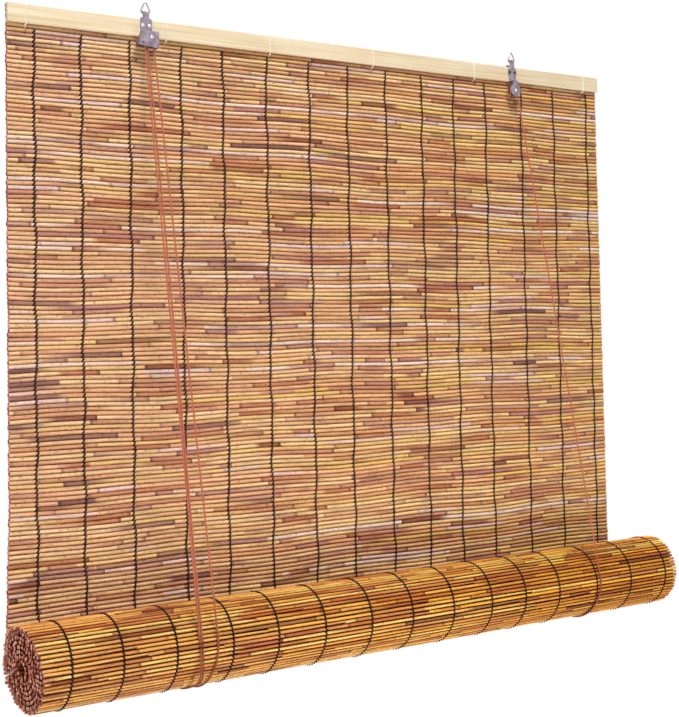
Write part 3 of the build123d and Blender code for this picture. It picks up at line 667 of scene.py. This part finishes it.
class Reeds:
    """Many stalks gathered into one mesh, with a colour at each point and a place along each stalk."""

    def __init__(self, seed):
        self.random = np.random.default_rng(seed)
        self.points, self.quads, self.tints, self.places, self.ends = [], [], [], [], []
        self.count = 0

    def pick(self, tints):
        """One of several weighted colours."""
        weights = np.array([w for w, _ in tints])
        return np.array(tints[self.random.choice(len(tints), p=weights / weights.sum())][1])

    def stalk(self, xs, ys, zs, radii, tints, flat=1.0, facing=pi, crevice_shade=0.8):
        """One stalk along X, hollow at its ends with painted shade in the bore, flatter where pressed, with
        painted shade beside its neighbours, broader on its lower side.
        """
        n, sides = len(xs), STALK_SIDES
        around = np.arange(sides) * 2 * pi / sides + facing
        beside = np.abs(np.sin(around - facing))
        # Painted shade: darker towards the neighbouring stalks, more broadly below than above
        painted_shade = np.where(np.sin(around) < LOWER_SIDE, beside ** LOWER_SHADE_SHARPNESS, beside ** UPPER_SHADE_SHARPNESS)
        painted_shade = 1 - crevice_shade * np.outer(painted_shade, PAINTED_SHADE_TINT)
        first = self.count
        rim = END_TINTS[self.random.choice(len(END_TINTS))]
        # Painted shade in the bore: dark for half the stalks, a darkened rim colour for the others
        hollow = BORE_SHADE if self.random.random() < 0.5 else tuple(FAINT_BORE_SHADE * c for c in rim)
        order = [(xs[0] + BORE_DEPTH, 0, BORE, hollow), (xs[0], 0, RIM, rim), (xs[0], 0, 1, rim)]
        order += [(xs[i], i, 1, tints[i]) for i in range(n)]
        order += [(xs[-1], -1, 1, rim), (xs[-1], -1, RIM, rim), (xs[-1] - BORE_DEPTH, -1, BORE, hollow)]
        x = np.array([o[0] for o in order])
        i = np.array([o[1] for o in order])
        size = np.array([o[2] for o in order]) * radii[i]
        self.points.append(np.stack([
            np.repeat(x, sides).reshape(-1, sides),
            ys[i][:, None] + flat * size[:, None] * np.cos(around),
            zs[i][:, None] + size[:, None] * np.sin(around),
        ], -1).reshape(-1, 3))
        colours = np.repeat(np.array([o[3] for o in order]), sides, 0)
        # The painted shade darkens the stalk's sides, not its cut ends
        colours[3 * sides:(3 + n) * sides] *= np.tile(painted_shade, (n, 1))
        self.tints.append(colours)
        rings = len(order)
        start = self.random.uniform(0, 40)
        k = np.arange(sides)
        following = (k + 1) % sides
        v0, v1 = start + k / sides, start + (k + 1) / sides
        for a in range(rings - 1):
            if a in (2, rings - 4):  # the rim and the stalk's own end lie in one place there
                continue
            base, upper = first + a * sides, first + (a + 1) * sides
            self.quads.append(np.stack([base + k, base + following, upper + following, upper + k], -1))
            u0, u1 = (np.full(sides, start + at / TEXTURE_LENGTH) for at in (x[a], x[a + 1]))
            corners = ((u0, v0), (u0, v1), (u1, v1), (u1, v0))
            self.places.append(np.stack([np.stack(corner, -1) for corner in corners], 1))
        last = first + (rings - 1) * sides
        self.ends += [[first + k for k in range(sides)][::-1], [last + k for k in range(sides)]]
        self.count += rings * sides

    def sheaths(self, low, high, tints):
        """Leaf sheaths along a stalk: the ends of each, its colour, its fade and how much it covers."""
        r = self.random
        at = low - r.uniform(0, 0.2)
        while at < high:
            start = at + r.uniform(*SHEATH_GAPS)
            at = start + r.uniform(*SHEATH_LENGTHS)
            if at > low and start < high:
                yield start, at, self.pick(tints), r.uniform(*SHEATH_FADES), r.uniform(*SHEATH_COVERS)

    def row(self, start, end, y, z, radius, tints, sheaths, step=0.09, drift=0.25 * MM, ragged=0.7 * MM,
            flat=1.0, narrowing=0.42, sizes=(0.93, 1.03), facing=pi, crevice_shade=0.8, pallor=0.6, waves=None):
        """A row of stalks laid end to end, their tips tapering beside the next one's butt."""
        r = self.random
        start += r.uniform(-1, 1) * ragged
        end += r.uniform(-1, 1) * ragged
        at = start - r.uniform(0, 0.5)
        wave, phase = r.uniform(*DRIFT_LENGTHS), r.uniform(*DRIFT_PHASES)
        lift = r.choice((-1, 1)) * narrowing * MM
        while at < end - LEAST_REST:
            to = at + r.uniform(*STALK_LENGTHS)
            low, high = max(at, start), min(to, end)
            at = to - STALK_OVERLAP
            if high - low < LEAST_STALK:
                continue
            size = radius * r.uniform(*sizes)
            base = self.pick(tints) * r.uniform(*TINT_RANGE)
            pale = pallor * np.clip(PALE_FROM - (low + high) / 2, 0, 1)
            base = base * (1 - pale) + PALE * pale
            worn = list(self.sheaths(low, high, sheaths))
            flip = r.random() < 0.5
            xs = list(np.linspace(low, high, max(3, ceil((high - low) / step))))
            for first, last, _, fade, _ in worn:
                soft = first + (last - first) * fade
                spots = (first, soft, *(last + spot for spot in SHEATH_SPOTS))
                xs += [low + high - x for x in spots] if flip else spots
            xs = np.array(sorted(x for x in xs if low <= x <= high))
            along = low + high - xs if flip else xs
            tip = 1 if high == to else 0
            share = (xs - low) / (high - low)
            radii = size * (1 - narrowing * tip * np.clip((share - TAPER_START) / TAPER_SPAN, 0, 1) ** 1.5)
            colours = np.repeat(base[None], len(xs), 0)
            for first, last, tint, fade, cover in worn:
                inside = (along >= first) & (along <= last)
                depth = np.clip((along - first) / max((last - first) * fade, 1 * MM), 0, 1)
                depth = np.where(inside, cover * depth, 0)[:, None]
                dark = np.where(inside & (along > last - LIP_SHADE), 1.1 - 0.75 * cover, 1.0)[:, None]
                colours = (colours * (1 - depth) + tint * depth) * dark
                radii = np.where(inside & (along > last - SHEATH_LIP), radii * LIP_SWELL, radii)
            shift = lift * tip * np.clip((share - TIP_START) / TIP_SPAN, 0, 1)
            shift = shift - lift * np.clip(1 - share / BUTT_SPAN, 0, 1)
            zs = z + drift * np.sin(xs / wave * DRIFT_TURN + phase) + shift
            if waves:
                zs = zs + waves(xs)
            self.stalk(xs, np.full(len(xs), y), zs, radii, colours, flat=flat, facing=facing, crevice_shade=crevice_shade)

    def mesh(self, name):
        """The mesh of all the stalks so far."""
        mesh = bpy.data.meshes.new(name)
        faces = np.concatenate(self.quads).tolist() + self.ends
        mesh.from_pydata(np.concatenate(self.points).tolist(), [], faces)
        places = np.concatenate(self.places).reshape(-1, 2)
        rest = sum(len(e) for e in self.ends)
        layer = mesh.uv_layers.new(name="along")
        layer.data.foreach_set("uv", np.concatenate([places, np.zeros((rest, 2))]).ravel())
        tint = mesh.color_attributes.new("tint", "FLOAT_COLOR", "POINT")
        rgb = np.concatenate(self.tints)
        tint.data.foreach_set("color", np.concatenate([rgb, np.ones((len(rgb), 1))], 1).ravel())
        mesh.update()
        return mesh


def row_z(row):
    """Height of the upper edge of a row, counted from the top of the mat."""
    return MAT_TOP - row * REED_PITCH


def sway(x, row):
    """How far the mat lies out of line at a place: gentle waves that neighbouring rows share."""
    calm = np.clip((row - CALM_TOP) / CALM_ROWS, 0, 1) * np.clip((REED_ROWS - CALM_FOOT - row) / CALM_ROWS, 0, 1)
    return calm * MM * sum(
        height * np.sin(2 * pi * (x / length + row / rows) + phase) for height, length, rows, phase in MAT_WAVES
    )


# The hanging mat: rows that stay behind the batten, the room at each end, and the flare of the lower left
TOP_ROWS = 4
TOP_RADIUS, HANGING_RADIUS = 2.8 * MM, 2.97 * MM
END_ROOM = 1 * MM
FLARE, FLARE_START, FLARE_SPAN = 5.5, 0.78, 0.22


def add_hanging_mat():
    """The rows behind the batten stay with it; the ones below are a piece of their own."""
    strip = Reeds(3)
    for row in range(TOP_ROWS):
        strip.row(MAT_LEFT + END_ROOM, MAT_RIGHT - END_ROOM, MAT_Y, row_z(row + 0.5), TOP_RADIUS, HANGING_TINTS,
                  HANGING_SHEATHS, drift=0.1 * MM, flat=0.76)
    add_piece("top_reeds", strip.mesh("top_reeds"), "reed", "headrail")
    mat = Reeds(11)
    for row in range(TOP_ROWS, REED_ROWS):
        y = MAT_Y + mat.random.uniform(-0.2, 0.2) * MM
        left = MAT_LEFT + (1 - FLARE * max(0, row / REED_ROWS - FLARE_START) / FLARE_SPAN) * MM
        mat.row(left, MAT_RIGHT - END_ROOM, y, row_z(row + 0.5), HANGING_RADIUS, HANGING_TINTS, HANGING_SHEATHS,
                step=0.04, drift=0.1 * MM, flat=0.94, narrowing=0.12, sizes=(0.98, 1.03), crevice_shade=0.87,
                waves=lambda xs, row=row: sway(xs, row + 0.5))
    piece = add_piece("hanging_reeds", mat.mesh("hanging_reeds"), "reed", "headrail", "reed_mat")
    draw_together(piece, BATTEN_BOTTOM)


# The roll: how deep its stalks lie in their turn, their radius, and the ends of the inner ones
OUTER_INSET, INNER_INSET = 2.25 * MM, 2.4 * MM
OUTER_RADIUS, INNER_RADIUS = 2.1 * MM, 2.2 * MM
STUB = 45 * MM
LEAN_BACK, LEAN_DOWN, LEAN_TURNS = 2.5, 5, 10
END_INSET, END_STEP = 2, 0.4
CORE_RECESS, CORE_POINTS = 20 * MM, 160


def spiral(turn, inset):
    """A point of the roll's section, as in the part's source."""
    radius = ROLL_RADIUS - ROLL_PITCH * turn - inset
    return AXIS_Y + radius * cos(-2 * pi * turn), AXIS_Z + radius * sin(-2 * pi * turn)


def reed_turns(start, end):
    """Places of reeds along the spiral, one reed pitch apart."""
    turn = start
    while turn < end:
        yield turn
        turn += REED_PITCH / (2 * pi * (ROLL_RADIUS - ROLL_PITCH * turn - OUTER_INSET))


def left_end(turn):
    """Where a stalk of the roll starts: the end of the roll leans, and its inner turns stand out a little."""
    lean = LEAN_BACK * (1 + cos(2 * pi * turn)) - LEAN_DOWN * sin(2 * pi * turn)
    return ROLL_LEFT + (END_INSET - lean * (1 - turn / LEAN_TURNS) - END_STEP * turn) * MM


def add_outer_turn():
    """Stalks all along the roll's outer turn."""
    outer = Reeds(23)
    for turn in (np.arange(ROLL_REEDS) + 0.5) / ROLL_REEDS:
        y, z = spiral(turn, OUTER_INSET)
        outer.row(left_end(turn), ROLL_RIGHT, y, z, OUTER_RADIUS, ROLL_TINTS, ROLL_SHEATHS, drift=0.25 * MM,
                  ragged=1.2 * MM, facing=-2 * pi * turn, crevice_shade=0.82, pallor=0.3)
    add_piece("roll_reeds", outer.mesh("roll_reeds"), "reed", "roll", "reed_roll")


def add_inner_turns():
    """Stalks all along the roll's second turn, and the ends of the ones inside it."""
    inner = Reeds(29)
    for turn in reed_turns(1.0, 2.0):
        y, z = spiral(turn, INNER_INSET)
        inner.row(left_end(turn), ROLL_RIGHT, y, z, INNER_RADIUS, SHADED, SHADED, step=0.3, drift=0.1 * MM,
                  ragged=1 * MM, facing=-2 * pi * turn)
    for turn in reed_turns(2.0, ROLL_TURNS - 0.02):
        y, z = spiral(turn, INNER_INSET)
        for end, side in ((left_end(turn), 1), (ROLL_RIGHT, -1)):
            x = end + side * inner.random.uniform(-1.2, 1.2) * MM
            xs = np.array(sorted((x, x + side * STUB)))
            size = INNER_RADIUS * inner.random.uniform(0.85, 1.05)
            tints = np.array([2 * inner.pick(SHADED)] * 2)
            inner.stalk(xs, np.full(2, y), np.full(2, z), np.full(2, size), tints)
    add_piece("roll_inner_reeds", inner.mesh("roll_inner_reeds"), "reed", "roll")


def add_core():
    """A wound sheet that closes the roll behind the ends of its inner stalks."""
    sheet = bmesh.new()
    turns = np.linspace(2.0, ROLL_TURNS - 0.05, CORE_POINTS)
    edges = [[sheet.verts.new((x, *spiral(turn, INNER_INSET))) for turn in turns]
             for x in (ROLL_LEFT + CORE_RECESS, ROLL_RIGHT - CORE_RECESS)]
    for i in range(len(turns) - 1):
        sheet.faces.new((edges[0][i], edges[0][i + 1], edges[1][i + 1], edges[1][i]))
    core = bpy.data.meshes.new("roll_core")
    sheet.to_mesh(core)
    sheet.free()
    tint = core.color_attributes.new("tint", "FLOAT_COLOR", "POINT")
    tint.data.foreach_set("color", np.tile((*CORE_TINT, 1), len(core.vertices)))
    add_piece("roll_core", core, "reed", "roll")


# Stitching: how far a thread swings aside and out, and its radius, on the mat and on the roll
HANGING_STITCH = (1.6 * MM, 3.0 * MM, 1.22 * MM)
ROLL_STITCH = (1.0 * MM, 2.6 * MM, 1.1 * MM)
ROLL_STRETCH = 1.0487  # the roll's length over the mat's width
STITCH_DEPTH = -2.4 * MM
STITCH_WANDER = ((1.1 * MM, 0.29, 40), (0.7 * MM, 0.67, 90))  # width, and turns along the column and across
THREAD_SIDES, THREAD_STEPS = 5, 4


def on_hanging(t, x, out):
    """Where a stitch lies on the hanging mat, counted in reeds from the batten down."""
    aside = sum(width * sin(along * t + across * x) for width, along, across in STITCH_WANDER)
    return x + aside, MAT_Y - out, row_z(TIE_ROW + t) + sway(x, TIE_ROW + t)


def on_roll(t, x, out):
    """Where a stitch lies on the roll's outer turn, counted in reeds from the seam."""
    return x, *spiral(t / ROLL_REEDS, OUTER_INSET - max(out, STITCH_DEPTH))


def twined(place, reeds, column, swing, reach, radius):
    """Two threads that pass each reed on either side and cross in each gap."""
    parts = []
    steps = np.arange(0, reeds * THREAD_STEPS + 1) / THREAD_STEPS
    for phase in (0, pi):
        line = [place(t, column + swing * cos(pi * t + phase), reach * sin(pi * t + phase)) for t in steps]
        parts.append(tube(line, radius, THREAD_SIDES))
    return parts


def add_stitches():
    """The rows of stitching, on the hanging mat and on the roll."""
    hanging, rolled = [], []
    for column in STITCHES:
        x = column * MM
        hanging += twined(on_hanging, REED_ROWS - TIE_ROW, x, *HANGING_STITCH)
        rolled += twined(on_roll, ROLL_REEDS, ROLL_LEFT + (x - MAT_LEFT) * ROLL_STRETCH, *ROLL_STITCH)
    piece = add_joined("mat_stitches", hanging, "thread", "headrail", "mat_threads")
    draw_together(piece, BATTEN_BOTTOM)
    add_joined("roll_stitches", rolled, "thread", "roll")


add_hanging_mat()
add_outer_turn()
add_inner_turns()
add_core()
add_stitches()

# Rail and hangers
NYLON, NYLON_TAIL, NYLON_SIDES = 0.5 * MM, 0.45 * MM, 8
TAIL_SPACING = 0.6 * MM
TIE_BOWS = (-1.0 * MM, 1.4 * MM)
RING_CORNERS = ((-7.5 * MM, 0), (7.5 * MM, 0), (0, 15 * MM))
RING_BEND, RING_WIRE, RING_SIDES, BEND_STEPS = 2 * MM, 0.9 * MM, 14, 8
SCREW_APART, SCREW_DROP, SCREW_RADIUS, SCREW_HEAD = 4.8 * MM, 8 * MM, 2.5 * MM, 1.3 * MM
FIRST_SLOT_TURN, SLOT_TURN_STEP, SLOT_WIDTH = -1.0, 0.3, 0.9 * MM
SLOT_REACH, SLOT_DEPTH = 4, 1.1  # over the head's radius and height
RIVET_RADIUS, RIVET_HEAD = 2.6 * MM, 1.0 * MM
HEAD_SIDES, HEAD_RINGS = 24, 6
ROUNDED_NODES = (
    ("left_plate", "steel", "headrail", 0.25 * MM),
    ("right_plate", "steel", "headrail", 0.25 * MM),
    ("lock_housing", "steel", "headrail", 0.35 * MM),
    ("pulley_cheek", "steel", "headrail", 0.25 * MM),
    ("lock_pawl", "steel", "pawl", 0.2 * MM),
    ("lock_sheave", "wheel", "lock_wheel", 0.2 * MM),
    ("pulley_sheave", "wheel", "pulley_wheel", 0.2 * MM),
)
PLAIN_NODES = {"front_batten": "bamboo", "bottom_rod": "bamboo", "sheave_pins": "rivet", "pawl_pin": "steel"}


def add_ties():
    """Thin nylon ties round the batten and the top rows, each with a short tail in front."""
    parts = []
    front, back = BATTEN_FRONT - 0.5 * MM, MAT_BACK + 0.6 * MM
    top, foot = RAIL_TOP + 0.5 * MM, row_z(TIE_ROW) + 0.1 * MM
    middle = (top + foot) / 2
    for i, column in enumerate(TIES):
        x, bow = column * MM, TIE_BOWS[i % 2]
        route = [
            (x, back, middle), (x, back, top), (x, MAT_Y, top), (x, front, top),
            (x + bow, front, middle), (x + bow * 0.6, front, BATTEN_BOTTOM + 2 * MM),
            (x, front, BATTEN_BOTTOM - 1 * MM), (x, MAT_FRONT, foot), (x, back, foot), (x, back, middle),
        ]
        parts.append(tube(smooth_line(route), NYLON, NYLON_SIDES))
        tail = [(x, front, BATTEN_BOTTOM), (x - 1 * MM, front, BATTEN_BOTTOM - 2 * MM),
                (x - 2.5 * MM, front + 1 * MM, BATTEN_BOTTOM - 3 * MM)]
        parts.append(tube(smooth_line(tail, TAIL_SPACING), NYLON_TAIL, NYLON_SIDES))
    add_joined("nylon_ties", parts, "nylon", "headrail", "rail_ties")


def add_rings():
    """Hanging rings of round wire, bent to a triangle."""
    for side, hanger_x in HANGERS:
        corners = [Vector((hanger_x + x, 0, EYE_Z + z)) for x, z in RING_CORNERS]
        line = []
        for i, corner in enumerate(corners):
            before = (corners[i - 1] - corner).normalized()
            after = (corners[(i + 1) % 3] - corner).normalized()
            half = before.angle(after) / 2
            centre = corner + (before + after).normalized() * (RING_BEND / sin(half))
            start = corner + before * (RING_BEND * cos(half) / sin(half)) - centre
            end = corner + after * (RING_BEND * cos(half) / sin(half)) - centre
            turn = pi - 2 * half
            for share in np.arange(BEND_STEPS + 1) / BEND_STEPS:
                line.append(centre + (start * sin((1 - share) * turn) + end * sin(share * turn)) / sin(turn))
        mesh = joined("ring", [tube([tuple(p) for p in line], RING_WIRE, RING_SIDES, closed=True)])
        add_piece(f"{side}_ring_wire", mesh, "steel", f"{side}_ring", f"{side}_hanging_ring")


def rounded_copy(node, slot, body, width):
    """A copy of a node's solid with its sharp edges rounded, standing for the node."""
    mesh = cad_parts[node].data.copy()
    bevel = add_piece(f"{node}_rounded", mesh, slot, body, node, smooth=False).modifiers.new("rounding", "BEVEL")
    bevel.width = width
    bevel.segments = 2
    bevel.limit_method = "ANGLE"
    bevel.angle_limit = radians(40)


def dome(centre, radius, height):
    """Mesh of a domed head that faces the front."""
    x, y, z = centre
    mesh = bmesh.new()
    rings = []
    for step in range(HEAD_RINGS):
        angle = step / HEAD_RINGS * pi / 2
        r, out = radius * cos(angle), height * sin(angle)
        rings.append([mesh.verts.new((x + r * cos(a), y - out, z + r * sin(a)))
                      for a in np.arange(HEAD_SIDES) * 2 * pi / HEAD_SIDES])
    crown = mesh.verts.new((x, y - height, z))
    for lower, upper in zip(rings, rings[1:]):
        for k in range(HEAD_SIDES):
            following = (k + 1) % HEAD_SIDES
            mesh.faces.new((lower[k], lower[following], upper[following], upper[k]))
    for k in range(HEAD_SIDES):
        mesh.faces.new((rings[-1][k], rings[-1][(k + 1) % HEAD_SIDES], crown))
    mesh.faces.new(rings[0][::-1])
    bmesh.ops.recalc_face_normals(mesh, faces=mesh.faces)
    data = bpy.data.meshes.new("head")
    mesh.to_mesh(data)
    mesh.free()
    return data


def slotted_dome(centre, radius, height, turn):
    """Mesh of a domed head with a driver's slot across it."""
    head = bpy.data.objects.new("head", dome(centre, radius, height))
    mesh = bmesh.new()
    bmesh.ops.create_cube(mesh, size=1)
    place = Matrix.Translation((centre[0], centre[1] - height, centre[2])) @ Matrix.Rotation(turn, 4, "Y")
    size = Matrix.Diagonal((SLOT_REACH * radius, height * SLOT_DEPTH, SLOT_WIDTH, 1))
    bmesh.ops.transform(mesh, matrix=place @ size, verts=mesh.verts)
    data = bpy.data.meshes.new("slot")
    mesh.to_mesh(data)
    mesh.free()
    cutter = bpy.data.objects.new("slot", data)
    for made in (head, cutter):
        scene.collection.objects.link(made)
    cut = head.modifiers.new("slot", "BOOLEAN")
    cut.object = cutter
    cut.operation = "DIFFERENCE"
    cut.solver = "EXACT"
    bpy.context.view_layer.update()
    result = bpy.data.meshes.new_from_object(head.evaluated_get(bpy.context.evaluated_depsgraph_get()))
    for made in (head, cutter):
        bpy.data.objects.remove(made)
    return result


def merged(name, meshes):
    whole = bmesh.new()
    for mesh in meshes:
        whole.from_mesh(mesh)
    result = bpy.data.meshes.new(name)
    whole.to_mesh(result)
    whole.free()
    return result


def add_hardware():
    """The plates, housings and wheels with rounded edges, and the heads of the screws and rivets."""
    for node, slot, body, width in ROUNDED_NODES:
        rounded_copy(node, slot, body, width)
    heads = []
    for _, hanger_x in HANGERS:
        for x in (hanger_x - SCREW_APART, hanger_x + SCREW_APART):
            turn = FIRST_SLOT_TURN + len(heads) * SLOT_TURN_STEP
            heads.append(slotted_dome((x, PLATE_FRONT, RAIL_TOP - SCREW_DROP), SCREW_RADIUS, SCREW_HEAD, turn))
    for name, pair, slot in (("left_screw_heads", heads[:2], "rivet"), ("right_screw_heads", heads[2:], "wheel")):
        add_piece(name, merged(name, pair), slot, "headrail", "plate_screws", smooth=False)
    pins = [dome((x, HOOD_FRONT, z), RIVET_RADIUS, RIVET_HEAD) for x, z in ((LOCK_X, LOCK_Z), (RIGHT_X, PULLEY_Z))]
    add_piece("rivet_heads", merged("rivet_heads", pins), "rivet", "headrail")


add_ties()
add_rings()
add_hardware()
for plain, finish in PLAIN_NODES.items():
    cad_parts[plain].material_slots[0].material = MATERIALS[finish]

# Floor and light. The sky is full strength where it is seen or mirrored, and weak where it only lights
FLOOR_CORNERS, FLOOR_Z = ((-1.8, -1.8), (1.8, -1.8), (1.8, 0.9), (-1.8, 0.9)), -1.5
SKY_LIGHT, SKY_SEEN = 0.12, 1.0
LAMPS = (
    ("key", (-0.3, -1.3, 2.3), (0, 0, -0.45), 1.0, 94),
    ("back", (0.4, 1.9, 1.9), (0, 0, -0.45), 1.4, 105),
    ("fill", (-1.6, -2.2, 0.0), (0, 0, -0.5), 1.6, 6),
    ("side", (-2.3, -0.7, -0.5), (-0.5, 0, -0.6), 1.0, 20),
    ("low", (0.1, -0.75, -1.4), (0, -0.06, -0.82), 0.7, 8),
)


def add_floor():
    """A plain floor well below the blind."""
    mesh = bpy.data.meshes.new("floor")
    mesh.from_pydata([(*corner, FLOOR_Z) for corner in FLOOR_CORNERS], [], [(0, 1, 2, 3)])
    paint = Shader("floor", roughness=0.9)
    paint.set("Base Color", (*grey(0.86), 1))
    mesh.materials.append(paint.material)
    floor = bpy.data.objects.new("floor", mesh)
    scene.collection.objects.link(floor)


def add_world():
    """A white world whose strength depends on the kind of ray."""
    world = bpy.data.worlds.new("world")
    scene.world = world
    world.use_nodes = True
    tree = world.node_tree
    background = tree.nodes["Background"]
    background.inputs["Color"].default_value = (1, 1, 1, 1)
    path = tree.nodes.new("ShaderNodeLightPath")

    def greater(first, second):
        made = tree.nodes.new("ShaderNodeMath")
        made.operation = "MAXIMUM"
        tree.links.new(first, made.inputs[0])
        tree.links.new(second, made.inputs[1])
        return made.outputs[0]

    mirrored = greater(path.outputs["Is Glossy Ray"], path.outputs["Is Transmission Ray"])
    strength = tree.nodes.new("ShaderNodeMapRange")
    strength.inputs["To Min"].default_value = SKY_LIGHT
    strength.inputs["To Max"].default_value = SKY_SEEN
    tree.links.new(greater(path.outputs["Is Camera Ray"], mirrored), strength.inputs["Value"])
    tree.links.new(strength.outputs["Result"], background.inputs["Strength"])


def add_light(name, place, target, size, power):
    """A round lamp that faces its target."""
    lamp = bpy.data.lights.new(name, "AREA")
    lamp.shape = "DISK"
    lamp.size = size
    lamp.energy = power
    light = bpy.data.objects.new(name, lamp)
    light.location = place
    light.rotation_euler = (Vector(target) - Vector(place)).to_track_quat("-Z", "Y").to_euler()
    scene.collection.objects.link(light)


add_floor()
add_world()
for lamp_row in LAMPS:
    add_light(*lamp_row)
